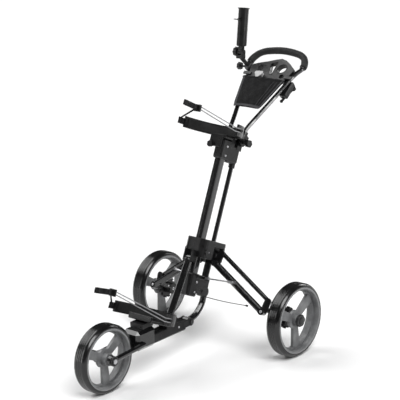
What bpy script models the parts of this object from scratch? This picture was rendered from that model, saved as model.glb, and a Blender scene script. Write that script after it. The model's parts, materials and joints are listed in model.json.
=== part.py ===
"""Folding three-wheel golf push cart.

World frame: +Z up, front of the cart towards -Y, origin on the floor under the middle of the cart.
Metres.  A sliding yoke on a twin-tube mast folds both rear legs and the front fork together.
"""
import math

import bmesh
import bpy
from mathutils import Matrix, Vector

# ---------------------------------------------------------------- driving dimensions
GAP = 0.0003                  # clearance between neighbouring pieces
ORIGIN_Y = 0.4845             # front axle to the middle of the cart's length

REAR_WHEEL_R = 0.140
FRONT_WHEEL_R = 0.1265
TYRE_DEPTH = 0.0145           # tread to rim lip
WHEEL_HALF_WIDTH = 0.0285
WHEEL_STEPS = 36
HALF_TRACK = 0.332
WHEELBASE = 0.681
HUB_R = 0.0225
SPOKE_THICKNESS = 0.012
AXLE_R = 0.0060

MAST_FOOT = (0.0, 0.415, 0.125)
MAST_LEAN = math.radians(23.7)
MAST_TOP = 0.690              # along the mast from its foot
MAST_WIDTH = 0.028
MAST_DEPTH = 0.037
MAST_WALL = 0.002
STRUT_BACK = 0.080            # strut tube behind the mast tube
STRUT_R = 0.0088

BLOCK_BOTTOM = 0.114
MAST_BOTTOM = 0.118            # the mast tube's end, inside the block
BLOCK_TOP = 0.200
YOKE_BOTTOM = 0.262
YOKE_TOP = 0.333
YOKE_HALF_WIDTH = 0.048

LEG_HUB = (0.046, 0.063, 0.2548)      # right leg's inner pivot, mast frame
LEG_END = (0.263, 0.122, 0.1195)      # right leg's outer pivot, mast frame
LINK_OFFSET = (0.0, 0.0303, 0.0428)   # link pivots from leg pivots, mast frame
LEG_R = 0.013
LINK_R = 0.0085
PIVOT_PIN_R = 0.0040
LUG_THICKNESS = 0.0070
LUG_CENTRE = 0.01687

STRETCHER_REACH = 0.107       # along the leg from its inner pivot
STRETCHER_INNER_X = 0.0343
STRETCHER_DROP = 0.0632       # below the leg hub, along the mast
STRETCHER_R = 0.0024

FRONT_HINGE = (0.455, 0.130)          # Y, Z
BRACE_TOP = (-0.0395, 0.2500)         # back and up in the mast frame
BRACE_FOOT = (0.346, 0.157)           # Y, Z
BRACE_R = 0.0135
SWAN_R = 0.0120
HINGE_PIN_R = 0.0045

HANDLE_HINGE = (0.080, 0.722)         # back and up in the mast frame
HANDLE_PITCH = math.radians(40.0)
RAIL_PLANE = 0.035            # rails above the hinge, square to them
RAIL_END = 0.3643             # hinge to the rail ends, along the rails
RAIL_HALF_SPREAD = 0.125
RAIL_R = 0.0085
GRIP_R = 0.0138
GRIP_RISE = 0.0625

CRADLE_R = 0.120              # bag cradles, inner radius
CRADLE_WALL = 0.009
CRADLE_BAND = 0.042

BRAKE_NOTCHES = 12
PLUNGER_REACH = 0.0380        # from the axle
PLUNGER_ANGLE = math.radians(145.0)
PLUNGER_R = 0.0034

BALL_WELL_R = 0.0200
BALL_WELL_AT = (0.0460, 0.3320)
UMBRELLA_KNUCKLE = (-0.150, 0.3593, 0.0849)
UMBRELLA_TILT = math.radians(47.7)

UP = Vector((0.0, 0.0, 1.0))
ALONG_X = (0.0, math.pi / 2, 0.0)     # turns a shape's own Z axis onto X
FACE_X = (math.pi / 2, 0.0, math.pi / 2)   # puts an outline's x, y onto Y, Z


# ---------------------------------------------------------------- scene helpers
def clear_scene():
    for obj in list(bpy.data.objects):
        bpy.data.objects.remove(obj, do_unlink=True)


def make_material(name, colour, roughness, metallic):
    material = bpy.data.materials.new(name)
    material.use_nodes = True
    shader = material.node_tree.nodes["Principled BSDF"]
    shader.inputs["Base Color"].default_value = (*colour, 1.0)
    shader.inputs["Roughness"].default_value = roughness
    shader.inputs["Metallic"].default_value = metallic
    material.diffuse_color = (*colour, 1.0)
    return material


def empty(name, parent, location, turn=(0.0, 0.0, 0.0)):
    obj = bpy.data.objects.new(name, None)
    PARTS.objects.link(obj)
    obj.parent = parent
    obj.location = location
    obj.rotation_euler = turn
    return obj


def add(obj, name, parent, material, smooth=35.0):
    """Name a finished shape, hang it on its parent and give it its own copy of a material."""
    obj.name = name
    for collection in list(obj.users_collection):
        collection.objects.unlink(obj)
    PARTS.objects.link(obj)
    obj.parent = parent
    obj.data.name = name
    own = material.copy()
    own.name = name
    obj.data.materials.clear()
    obj.data.materials.append(own)
    if obj.type == "MESH":
        obj.data.shade_smooth()
        obj.data.set_sharp_from_angle(angle=math.radians(smooth))
    return obj


def as_mesh(obj):
    """Replace an object by its evaluated mesh, with loose caps and seams welded."""
    bpy.context.view_layer.update()
    graph = bpy.context.evaluated_depsgraph_get()
    mesh = bpy.data.meshes.new_from_object(obj.evaluated_get(graph))
    welded = bmesh.new()
    welded.from_mesh(mesh)
    bmesh.ops.remove_doubles(welded, verts=welded.verts, dist=0.00002)
    welded.to_mesh(mesh)
    welded.free()
    plain = bpy.data.objects.new(obj.name, mesh)
    bpy.context.scene.collection.objects.link(plain)
    plain.matrix_world = obj.matrix_world
    bpy.data.objects.remove(obj, do_unlink=True)
    return plain


def combine(operation, base, others):
    base = as_mesh(base)
    tools = [as_mesh(other) for other in others]
    for tool in tools:
        modifier = base.modifiers.new(operation.lower(), "BOOLEAN")
        modifier.operation = operation
        modifier.solver = "EXACT"
        modifier.object = tool
    result = as_mesh(base)
    for tool in tools:
        bpy.data.objects.remove(tool, do_unlink=True)
    return result


def fuse(base, *others):
    return combine("UNION", base, others)


def cut(base, *tools):
    return combine("DIFFERENCE", base, tools)


# ---------------------------------------------------------------- shapes
def box(size, at, turn=(0.0, 0.0, 0.0), bevel=0.0):
    bpy.ops.mesh.primitive_cube_add(size=1.0, location=at, rotation=turn)
    obj = bpy.context.object
    obj.scale = size
    bpy.ops.object.transform_apply(location=False, rotation=False, scale=True)
    if bevel:
        modifier = obj.modifiers.new("edges", "BEVEL")
        modifier.width = bevel
        modifier.segments = 1
        modifier.limit_method = "NONE"
    return obj


def turn_onto(direction):
    return Vector(direction).to_track_quat("Z", "Y").to_euler()


def rod(start, end, radius, sides=16):
    start, end = Vector(start), Vector(end)
    bpy.ops.mesh.primitive_cylinder_add(
        vertices=sides, radius=radius, depth=(end - start).length,
        location=(start + end) / 2, rotation=turn_onto(end - start))
    return bpy.context.object


def pin(at, direction, half_length, radius, sides=16):
    reach = Vector(direction).normalized() * half_length
    return rod(Vector(at) - reach, Vector(at) + reach, radius, sides)


def ball(at, radius):
    bpy.ops.mesh.primitive_uv_sphere_add(segments=16, ring_count=8, radius=radius, location=at)
    return bpy.context.object


def curve_object(name, dimensions):
    curve = bpy.data.curves.new(name, "CURVE")
    curve.dimensions = dimensions
    obj = bpy.data.objects.new(name, curve)
    bpy.context.scene.collection.objects.link(obj)
    return obj


def pipe(points, radius, resolution=2):
    obj = curve_object("pipe", "3D")
    spline = obj.data.splines.new("POLY")
    spline.points.add(len(points) - 1)
    for point, place in zip(spline.points, points):
        point.co = (*place, 1.0)
    obj.data.bevel_depth = radius
    obj.data.bevel_resolution = resolution
    obj.data.use_fill_caps = True
    return as_mesh(obj)


def smooth_route(points, steps=6):
    """Points on a smooth curve (Catmull-Rom) through the given ones."""
    points = [Vector(point) for point in points]
    padded = [2 * points[0] - points[1], *points, 2 * points[-1] - points[-2]]
    route = [points[0]]
    for before, start, end, after in zip(padded, padded[1:], padded[2:], padded[3:]):
        for step in range(1, steps + 1):
            t = step / steps
            route.append(0.5 * (2 * start + (end - before) * t
                                + (2 * before - 5 * start + 4 * end - after) * t ** 2
                                + (3 * start - before - 3 * end + after) * t ** 3))
    return route


def past_start(route):
    """The same route, begun a clearance earlier, for cutting a socket."""
    return [route[0] + (route[0] - route[1]).normalized() * GAP, *route[1:]]


def plate(outline, thickness, at=(0.0, 0.0, 0.0), turn=(0.0, 0.0, 0.0), holes=()):
    obj = curve_object("plate", "2D")
    for loop in (outline, *holes):
        spline = obj.data.splines.new("POLY")
        spline.points.add(len(loop) - 1)
        for point, place in zip(spline.points, loop):
            point.co = (place[0], place[1], 0.0, 1.0)
        spline.use_cyclic_u = True
    obj.data.fill_mode = "BOTH"
    obj.data.extrude = thickness / 2
    obj.location = at
    obj.rotation_euler = turn
    return as_mesh(obj)


def circle(radius, sides, centre=(0.0, 0.0), start=0.0):
    return [(centre[0] + radius * math.cos(start + math.tau * i / sides),
             centre[1] + radius * math.sin(start + math.tau * i / sides)) for i in range(sides)]


def arc(radius, first, last, steps, centre=(0.0, 0.0)):
    """Points on an arc; angles in degrees."""
    angles = [math.radians(first + (last - first) * i / steps) for i in range(steps + 1)]
    return [(centre[0] + radius * math.cos(t), centre[1] + radius * math.sin(t)) for t in angles]


def rounded_rectangle(width, height, corner, steps=3, centre=(0.0, 0.0)):
    points = []
    for index, (sx, sy) in enumerate(((1, 1), (-1, 1), (-1, -1), (1, -1))):
        middle = (centre[0] + sx * (width / 2 - corner), centre[1] + sy * (height / 2 - corner))
        points += arc(corner, 90 * index, 90 * index + 90, steps, middle)
    return points


def turned(profile, steps, at=(0.0, 0.0, 0.0), turn=(0.0, 0.0, 0.0), closed=True):
    """A profile of (radius, height) points turned about its own Z axis, outer side first."""
    mesh = bpy.data.meshes.new("turned")
    edges = [(i, i + 1) for i in range(len(profile) - 1)]
    if closed:
        edges.append((len(profile) - 1, 0))
    mesh.from_pydata([(radius, 0.0, height) for radius, height in profile], edges, [])
    obj = bpy.data.objects.new("turned", mesh)
    bpy.context.scene.collection.objects.link(obj)
    obj.location = at
    obj.rotation_euler = turn
    screw = obj.modifiers.new("screw", "SCREW")
    screw.steps = steps
    screw.render_steps = steps
    screw.use_merge_vertices = True
    screw.merge_threshold = 0.0001
    return obj


def ring(outer, inner, length, steps, at, turn):
    half = length / 2
    profile = [(outer, half), (outer, -half), (inner, -half), (inner, half)]
    return turned(profile, steps, at, turn)


def knob(radius, thickness, lobes, at, turn, depth=0.0018):
    """A grip knob with rounded lobes around its edge."""
    sides = lobes * 4
    outline = []
    for i in range(sides):
        angle = math.tau * i / sides
        reach = radius - depth * (0.5 - 0.5 * math.cos(lobes * angle))
        outline.append((reach * math.cos(angle), reach * math.sin(angle)))
    return plate(outline, thickness, at, turn)


# ---------------------------------------------------------------- frames
def mast_point(x, back, along):
    """World place (before the origin shift) of a point given in the mast frame."""
    return Vector((x,
                   MAST_FOOT[1] + back * math.cos(MAST_LEAN) + along * math.sin(MAST_LEAN),
                   MAST_FOOT[2] - back * math.sin(MAST_LEAN) + along * math.cos(MAST_LEAN)))


def to_mast(y, z):
    """Mast-frame (back, along) of a point on the middle plane."""
    dy, dz = y - MAST_FOOT[1], z - MAST_FOOT[2]
    return (dy * math.cos(MAST_LEAN) - dz * math.sin(MAST_LEAN),
            dy * math.sin(MAST_LEAN) + dz * math.cos(MAST_LEAN))


def mirrored(point, side):
    return Vector((side * point[0], point[1], point[2]))


def leg_axes(side):
    """Leg direction and fold axis of one leg, in the mast frame."""
    direction = (mirrored(LEG_END, side) - mirrored(LEG_HUB, side)).normalized()
    axis = direction.cross(-UP).normalized() * side
    return direction, axis


# ---------------------------------------------------------------- wheels
def tyre(radius, at):
    half = WHEEL_HALF_WIDTH
    bead = radius - TYRE_DEPTH + GAP
    outer = [(radius - 0.0080, half), (radius, half * 0.50)]
    inner = [(bead, -half), (bead, half)]
    profile = outer + [(r, -z) for r, z in reversed(outer)] + inner
    return turned(profile, WHEEL_STEPS, at, ALONG_X)


def rim(radius, at, hub_inner, hub_outer, side):
    """Deep-dish rim: barrel, three broad spokes and a hub, drilled for its bush."""
    lip = radius - TYRE_DEPTH
    half = WHEEL_HALF_WIDTH
    barrel = [(lip, half), (lip, -half), (lip - 0.007, -half), (lip - 0.010, -half + 0.008),
              (lip - 0.010, half - 0.008), (lip - 0.007, half)]
    windows = []
    for index in range(3):
        first = 33.0 + 120.0 * index
        outer = arc(lip - 0.017, first + 11, first + 109, 7)
        inner = arc(HUB_R + 0.013, first + 96, first + 24, 3)
        windows.append(outer + inner)
    web = plate(circle(lip - 0.0092, WHEEL_STEPS), SPOKE_THICKNESS, at, FACE_X, windows)
    x = at[0]
    hub = rod((x + side * hub_inner, at[1], at[2]), (x + side * hub_outer, at[1], at[2]), HUB_R, 20)
    body = fuse(turned(barrel, WHEEL_STEPS, at, ALONG_X), web, hub)
    bore = pin(at, (1.0, 0.0, 0.0), 0.06, AXLE_R + GAP, 16)
    return cut(body, bore)


def front_wheel(parent):
    spin = empty("front_wheel_spin", parent, (0.0, -FRONT_HINGE[0], FRONT_WHEEL_R - FRONT_HINGE[1]))
    centre = (0.0, 0.0, 0.0)
    add(tyre(FRONT_WHEEL_R, centre), "front_tyre", spin, TYRE)
    add(rim(FRONT_WHEEL_R, centre, -0.030, 0.030, 1), "front_rim", spin, RIM)


def rear_wheel(carrier, side, tag):
    """Wheel, brake ring and hub cap, spinning on the carrier's axle."""
    leg_end = mast_point(*LEG_END)
    hub_offset = (side * (HALF_TRACK - LEG_END[0]), WHEELBASE - leg_end.y, REAR_WHEEL_R - leg_end.z)
    spin = empty("rear_wheel_spin_" + tag, carrier, hub_offset)
    centre = (0.0, 0.0, 0.0)
    add(tyre(REAR_WHEEL_R, centre), "rear_tyre_" + tag, spin, TYRE)
    add(rim(REAR_WHEEL_R, centre, -0.0300, 0.0225, side), "rear_rim_" + tag, spin, RIM)
    cap_at = (side * (0.0225 + GAP + 0.0055), 0.0, 0.0)
    add(knob(0.0235, 0.011, 6, cap_at, FACE_X, 0.0025), "hub_cap_" + tag, spin, HUB_BLACK)
    ring_at = (side * -(0.0300 + GAP + 0.0050), 0.0, 0.0)
    teeth = []
    for tooth in range(BRAKE_NOTCHES):
        base = PLUNGER_ANGLE + math.tau * (tooth + 0.5) / BRAKE_NOTCHES
        for radius, offset in ((0.034, -0.150), (0.042, -0.115), (0.042, 0.115), (0.034, 0.150)):
            teeth.append((radius * math.cos(base + offset), radius * math.sin(base + offset)))
    brake = plate(teeth, 0.010, ring_at, FACE_X, [circle(0.0180, 20)])
    add(brake, "brake_ring_" + tag, spin, BLACK_PLASTIC)


# ---------------------------------------------------------------- rear legs
def pivot_lug(side, hub, axis):
    """Flat lug between a leg and its link, with a stub pin into each, at one end of the pair."""
    offset = mirrored(LINK_OFFSET, side)
    toward_link = axis
    in_plane = offset - toward_link * offset.dot(toward_link)
    level = hub + toward_link * LUG_CENTRE
    frame = Matrix((in_plane.normalized(), axis.cross(in_plane.normalized()), axis)).transposed()
    length = in_plane.length
    outline = arc(0.0125, -90, 90, 6, (length, 0.0)) + arc(0.0125, 90, 270, 6)
    lug = plate(outline, LUG_THICKNESS, level, frame.to_euler())
    leg_pin = rod(hub - toward_link * LEG_R, level, PIVOT_PIN_R, 12)
    link_pin = rod(level + in_plane, hub + offset + toward_link * LINK_R, PIVOT_PIN_R, 12)
    return fuse(lug, leg_pin, link_pin)


def leg_bar(start, end, radius, axis, name, parent):
    """Tube from pivot to pivot with rounded ends, drilled for the stub pins."""
    bar = fuse(rod(start, end, radius, 16),
               pin(start, axis, radius * 0.98, radius * 0.98),
               pin(end, axis, radius * 0.98, radius * 0.98))
    bore = PIVOT_PIN_R + GAP
    drilled = cut(bar, pin(start, axis, radius * 2, bore, 12), pin(end, axis, radius * 2, bore, 12))
    add(drilled, name, parent, ALLOY)


def rear_leg(yoke, side, tag):
    direction, axis = leg_axes(side)
    hub, end = mirrored(LEG_HUB, side), mirrored(LEG_END, side)
    span = end - hub
    leg = empty("leg_fold_" + tag, yoke, hub)
    leg_bar(Vector((0.0, 0.0, 0.0)), span, LEG_R, axis, "leg_tube_" + tag, leg)
    link = empty("link_fold_" + tag, yoke, hub + mirrored(LINK_OFFSET, side))
    leg_bar(Vector((0.0, 0.0, 0.0)), span, LINK_R, axis, "link_tube_" + tag, link)
    carrier = empty("carrier_turn_" + tag, leg, span, (MAST_LEAN, 0.0, 0.0))
    wheel_carrier(carrier, side, tag, axis)
    rear_wheel(carrier, side, tag)


def wheel_carrier(carrier, side, tag, axis):
    """Casting that holds the wheel upright: pivot lug, arm, axle boss and plunger guide."""
    lean = Matrix.Rotation(-MAST_LEAN, 3, "X")
    lug = pivot_lug(side, Vector((0.0, 0.0, 0.0)), axis)
    lug.matrix_world = lean.to_4x4() @ lug.matrix_world
    end = mast_point(*LEG_END)
    axle = Vector((side * 0.012, WHEELBASE - end.y, REAR_WHEEL_R - end.z))
    offset = mirrored(LINK_OFFSET, side)
    lug_middle = lean @ (axis * 0.0185 + (offset - axis * offset.dot(axis)) * 0.30)
    guide = axle + Vector((0.0, math.cos(PLUNGER_ANGLE), math.sin(PLUNGER_ANGLE))) * PLUNGER_REACH
    across = (1.0, 0.0, 0.0)
    body = fuse(lug, rod(lug_middle, axle, 0.0095, 12), pin(axle, across, 0.0135, 0.021, 20),
                pin(guide, across, 0.0130, 0.0085, 16))
    body = cut(body, pin(axle, across, 0.03, AXLE_R + GAP, 16), pin(guide, across, 0.03, PLUNGER_R + GAP, 12))
    add(body, "wheel_carrier_" + tag, carrier, BLACK_PLASTIC)
    inner = Vector((side * -0.0010, axle.y, axle.z))
    outer = Vector((side * (HALF_TRACK - LEG_END[0] + 0.0215), axle.y, axle.z))
    add(rod(inner, outer, AXLE_R, 16), "rear_axle_" + tag, carrier, STEEL)
    plunger = empty("brake_plunger_slide_" + tag, carrier, guide)
    shape = rod((side * -0.016, 0.0, 0.0), (side * 0.0155, 0.0, 0.0), PLUNGER_R, 12)
    add(shape, "brake_plunger_" + tag, plunger, STEEL)


def stretcher(mast, side, tag):
    """Flat-ended steel rod from the frame block to the middle of a leg."""
    direction, axis = leg_axes(side)
    toward_link = axis
    forward = toward_link * -(LEG_R + STRETCHER_R + 0.0012)
    hub = mirrored(LEG_HUB, side)
    inner = Vector((side * STRETCHER_INNER_X, hub.y - 0.0202, hub.z - STRETCHER_DROP))
    outer = hub + direction * STRETCHER_REACH + forward
    swing = empty("stretcher_swing_" + tag, mast, inner)
    reach = outer - inner
    frame = Matrix((reach.normalized(), toward_link.cross(reach.normalized()), toward_link)).transposed()
    shape = fuse(rod((0.0, 0.0, 0.0), reach, STRETCHER_R, 8),
                 box((0.030, 0.011, 0.0034), reach * 0.97, frame.to_euler()),
                 box((0.014, 0.010, 0.0034), reach * 0.03, frame.to_euler()))
    add(shape, "stretcher_rod_" + tag, swing, STEEL)


def brake_cable(mast, side, tag):
    """Brake cable from the frame block to the ferrule under a leg."""
    inner = Vector((side * 0.0330, 0.0408, 0.1240))
    outer = Vector((side * 0.2180, 0.0911, 0.1290))
    swing = empty("brake_cable_swing_" + tag, mast, inner)
    span = outer - inner
    sag = Vector((0.0, 0.0, -0.0030))
    route = smooth_route([Vector((0.0, 0.0, 0.0)), span * 0.5 + sag, span], 4)
    shape = fuse(pipe(route, 0.0014), rod(span * 0.955, span, 0.0034, 8))
    add(shape, "brake_cable_" + tag, swing, BLACK_PLASTIC)


# ---------------------------------------------------------------- mast
def mast_frame(cart):
    mast = empty("mast", cart, MAST_FOOT, (-MAST_LEAN, 0.0, 0.0))
    length = MAST_TOP - MAST_BOTTOM
    outer = rounded_rectangle(MAST_WIDTH, MAST_DEPTH, 0.009)
    inner = rounded_rectangle(MAST_WIDTH - 2 * MAST_WALL, MAST_DEPTH - 2 * MAST_WALL, 0.0072)
    at = (0.0, 0.0, MAST_TOP - length / 2)
    add(plate(outer, length, at, holes=[inner]), "main_tube", mast, ALLOY)
    strut_bottom, strut_top = BLOCK_TOP - 0.020, MAST_TOP + 0.002
    length = strut_top - strut_bottom
    at = (0.0, STRUT_BACK, strut_bottom + length / 2)
    strut = plate(circle(STRUT_R, 16), length, at, holes=[circle(STRUT_R - 0.0016, 16)])
    add(strut, "strut_tube", mast, ALLOY)
    return mast


def mast_hole(bottom, top):
    """Cutter for the mast tube, a clearance larger than the tube."""
    outline = rounded_rectangle(MAST_WIDTH + 2 * GAP, MAST_DEPTH + 2 * GAP, 0.009)
    return plate(outline, top - bottom, (0.0, 0.0, (bottom + top) / 2))


def strut_hole(bottom, top):
    """Cutter for the strut tube, a clearance larger than the tube."""
    return plate(circle(STRUT_R + GAP, 16), top - bottom, (0.0, STRUT_BACK, (bottom + top) / 2))


def frame_block(mast):
    """Block at the foot of the mast that joins both tubes to the bent lower tube."""
    height = BLOCK_TOP - BLOCK_BOTTOM
    middle = (BLOCK_TOP + BLOCK_BOTTOM) / 2
    collar = box((0.042, 0.050, height), (0.0, 0.0025, middle), bevel=0.005)
    rear = box((0.034, 0.082, height * 0.62), (0.0, 0.056, middle + 0.010), bevel=0.006)
    heel = pin((0.0, 0.084, BLOCK_BOTTOM + 0.026), (1.0, 0.0, 0.0), 0.0160, 0.019, 20)
    rib = box((0.048, 0.056, 0.016), (0.0, 0.030, BLOCK_TOP - 0.010), bevel=0.004)
    tube_hole = mast_hole(MAST_BOTTOM - GAP, BLOCK_TOP + 0.01)
    rear_hole = strut_hole(BLOCK_TOP - 0.020 - GAP, BLOCK_TOP + 0.10)
    swan_hole = pipe(past_start(swan_route()), SWAN_R + GAP, 3)
    sleeve = rod((0.0, STRUT_BACK, BLOCK_TOP - 0.03), (0.0, STRUT_BACK, YOKE_BOTTOM + 0.012), 0.0130, 20)
    body = fuse(collar, rear, heel, rib, sleeve)
    for side in (1, -1):
        ear = box((0.024, 0.0066, 0.016), (side * 0.0280, 0.0537, LEG_HUB[2] - STRETCHER_DROP), bevel=0.001)
        body = fuse(body, ear)
    body = cut(body, tube_hole, rear_hole, swan_hole)
    add(body, "frame_block", mast, BLACK_PLASTIC)


def swan_route():
    """Centre line of the bent lower tube, mast frame: out of the block's heel, round to the hinge."""
    world = [(0.5590, 0.2300), (0.5570, 0.2050), (0.5430, 0.1720), (0.5160, 0.1460),
             (0.4850, 0.1330), (FRONT_HINGE[0], FRONT_HINGE[1])]
    points = [(0.0, *to_mast(y, z)) for y, z in world]
    return smooth_route(points, 4)


def swan_tube(mast):
    back, along = to_mast(*FRONT_HINGE)
    eye = pin((0.0, back, along), (1.0, 0.0, 0.0), 0.0124, 0.0150, 20)
    hinge_pin = pin((0.0, back, along), (1.0, 0.0, 0.0), 0.0245, HINGE_PIN_R)
    heads = [pin((x, back, along), (1.0, 0.0, 0.0), 0.0015, 0.0085) for x in (0.0238, -0.0238)]
    add(fuse(pipe(swan_route(), SWAN_R, 3), eye, hinge_pin, *heads), "lower_bent_tube", mast, ALLOY)


# ---------------------------------------------------------------- yoke
def yoke_housing(yoke):
    """Sliding hood round both tubes, open below, with the legs' pivot lugs."""
    height = YOKE_TOP - YOKE_BOTTOM
    middle = (YOKE_TOP + YOKE_BOTTOM) / 2
    depth_front, depth_back = -0.030, 0.114
    plan = rounded_rectangle(2 * YOKE_HALF_WIDTH, depth_back - depth_front, 0.024, 4,
                             (0.0, (depth_back + depth_front) / 2))
    hood = plate(plan, height, (0.0, 0.0, middle))
    edges = hood.modifiers.new("edges", "BEVEL")
    edges.width = 0.005
    edges.segments = 1
    edges.limit_method = "ANGLE"
    under_top = YOKE_TOP - 0.020
    under = box((0.20, 0.074, 0.10), (0.0, 0.070, under_top - 0.05))
    mast_cut = mast_hole(YOKE_BOTTOM - 0.03, YOKE_TOP + 0.03)
    strut_cut = strut_hole(YOKE_BOTTOM - 0.03, YOKE_TOP + 0.03)
    body = cut(hood, under)
    for side in (1, -1):
        direction, axis = leg_axes(side)
        hub = mirrored(LEG_HUB, side)
        web = box((0.0085, 0.056, 0.075), (side * 0.0255, 0.0620, under_top - 0.026))
        body = fuse(body, pivot_lug(side, hub, axis), web, lug_tie(side, axis))
        cheek = box((0.0050, 0.030, 0.045), (side * 0.0170, -0.040, BRACE_TOP[1] + 0.012), bevel=0.001)
        boss = pin((side * YOKE_HALF_WIDTH, -0.006, YOKE_BOTTOM + 0.024), (1.0, 0.0, 0.0), 0.003, 0.010)
        body = fuse(body, cheek, boss)
    body = fuse(body, pin((0.0, *BRACE_TOP), (1.0, 0.0, 0.0), 0.0175, PIVOT_PIN_R, 12))
    body = cut(body, mast_cut, strut_cut)
    add(body, "yoke_housing", yoke, BLACK_PLASTIC)


def lug_tie(side, axis):
    """Bracket from the hood's inner web out to a leg's pivot lug."""
    hub = mirrored(LEG_HUB, side)
    level = hub + axis * LUG_CENTRE
    inboard = Vector((side * 0.0255, level.y - 0.0045, level.z + 0.020))
    return rod(inboard, level + Vector((0.0, 0.0, 0.018)), 0.0035, 8)


def brace(yoke):
    """Front brace tube from the yoke's front wall down to the front beam."""
    foot = to_mast(*BRACE_FOOT)
    pivot = empty("brace_swing", yoke, (0.0, *BRACE_TOP))
    reach = Vector((0.0, foot[0] - BRACE_TOP[0], foot[1] - BRACE_TOP[1]))
    eye = pin((0.0, 0.0, 0.0), (1.0, 0.0, 0.0), BRACE_R, BRACE_R)
    shape = fuse(rod((0.0, 0.0, 0.0), reach * 0.97, BRACE_R, 16), eye)
    shape = cut(shape, pin((0.0, 0.0, 0.0), (1.0, 0.0, 0.0), 0.03, PIVOT_PIN_R + GAP, 12))
    add(shape, "front_brace", pivot, ALLOY)


# ---------------------------------------------------------------- front frame
def front_place(x, y, z):
    """World place (before the origin shift) as seen from the front hinge."""
    return Vector((x, y - FRONT_HINGE[0], z - FRONT_HINGE[1]))


def front_frame(front):
    """Beam, fork and axle that carry the front wheel."""
    across = (1.0, 0.0, 0.0)
    beam = box((0.042, 0.187, 0.042), front_place(0.0, 0.3345, 0.127), bevel=0.006)
    for side in (1, -1):
        lug = pin(front_place(side * 0.0187, *FRONT_HINGE), across, 0.0029, 0.0150, 20)
        arm = box((0.0058, 0.046, 0.026), front_place(side * 0.0187, 0.434, 0.130))
        cheek = box((0.0056, 0.060, 0.034), front_place(side * 0.0178, 0.348, 0.154), bevel=0.001)
        rivet = pin(front_place(side * 0.0210, *BRACE_FOOT), across, 0.0022, 0.0050, 12)
        beam = fuse(beam, lug, arm, cheek, rivet)
    beam = cut(beam, pin(front_place(0.0, *FRONT_HINGE), across, 0.03, HINGE_PIN_R + GAP))
    add(beam, "front_beam", front, BLACK_PLASTIC)
    fork = box((0.080, 0.100, 0.075), front_place(0.0, 0.190, 0.1475), bevel=0.012)
    for side in (1, -1):
        arm = rod(front_place(side * 0.045, 0.168, 0.136), front_place(side * 0.045, 0.0, FRONT_WHEEL_R),
                  0.0095, 16)
        hub = pin(front_place(side * 0.045, 0.0, FRONT_WHEEL_R), across, 0.010, 0.0185, 24)
        fork = fuse(fork, arm, hub)
    fork = cut(fork, pin(front_place(0.0, 0.0, FRONT_WHEEL_R), across, 0.08, AXLE_R + GAP))
    add(fork, "front_fork", front, ALLOY)
    axle = pin(front_place(0.0, 0.0, FRONT_WHEEL_R), across, 0.0575, AXLE_R)
    for side in (1, -1):
        head = pin(front_place(side * 0.0575, 0.0, FRONT_WHEEL_R), across, 0.0020, 0.0100, 6)
        axle = fuse(axle, head)
    add(axle, "front_axle", front, STEEL)


# ---------------------------------------------------------------- bag cradles
def cradle_band(radius, first, last, centre):
    outline = arc(radius + CRADLE_WALL, first, last, 22, centre[:2])
    outline += arc(radius, last, first, 22, centre[:2])
    return plate(outline, CRADLE_BAND, (0.0, 0.0, centre[2]))


def bungee(tip, clip):
    """Elastic loop from the clip round the peg on the near arm and back."""
    x, y, z = tip
    route = []
    for sign in (1, -1):
        half = [Vector(clip) + Vector((0.0, 0.0, sign * 0.0050)),
                Vector((x - 0.006, y - 0.026, z + sign * 0.0065)),
                Vector((x, y - 0.014, z + sign * 0.0065)),
                Vector((x, y, z + sign * 0.0065))]
        bend = [Vector((x, y + 0.0065 * math.cos(a), z + sign * 0.0065 * math.sin(a)))
                for a in (math.radians(60), math.radians(30))]
        route.append(half + bend)
    middle = [Vector((x, y + 0.0065, z))]
    return pipe(route[0] + middle + route[1][::-1], 0.0020, 1)


def cradle_fittings(parent, prefix, tip, clip, hook, tab_end):
    """Bungee, clip hooked on the far arm and pull tab of one cradle."""
    cord = bungee(tip, clip)
    add(cord, prefix + "_bungee", parent, ELASTIC)
    clip = Vector(clip)
    body_at = clip + Vector((-0.0172, 0.0, 0.0))
    body = box((0.032, 0.010, 0.027), body_at, bevel=0.002)
    hook_route = [body_at + Vector((-0.010, 0.0, -0.004)), Vector(hook) + Vector((0.0, -0.022, 0.010)),
                  Vector(hook)]
    add(fuse(body, pipe(hook_route, 0.0035)), prefix + "_clip", parent, BLACK_PLASTIC)
    tab_start = body_at + Vector((0.0, -0.0060, 0.0))
    reach = Vector(tab_end) - tab_start
    reach.x = 0.0
    frame = Matrix(((1.0, 0.0, 0.0), reach.normalized(), Vector((1.0, 0.0, 0.0)).cross(reach).normalized()))
    tab = box((0.0050, reach.length, 0.0215), tab_start + reach / 2, frame.transposed().to_euler())
    add(tab, prefix + "_pull_tab", parent, WEBBING)


def buckle(degrees, centre, radius):
    """Strap buckle on the outside of a cradle band."""
    angle = math.radians(degrees)
    reach = radius + CRADLE_WALL + 0.0020
    at = (centre[0] + reach * math.cos(angle), centre[1] + reach * math.sin(angle), centre[2])
    return box((0.0060, 0.026, 0.034), at, (0.0, 0.0, angle), 0.001)


def peg(tip, wall):
    """Peg on the outside of the near arm that holds the bungee."""
    x, y, z = tip
    return fuse(rod((wall - 0.003, y, z), (x + 0.0050, y, z), 0.0034, 12),
                rod((x + 0.0032, y, z), (x + 0.0052, y, z), 0.0060, 12))


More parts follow.
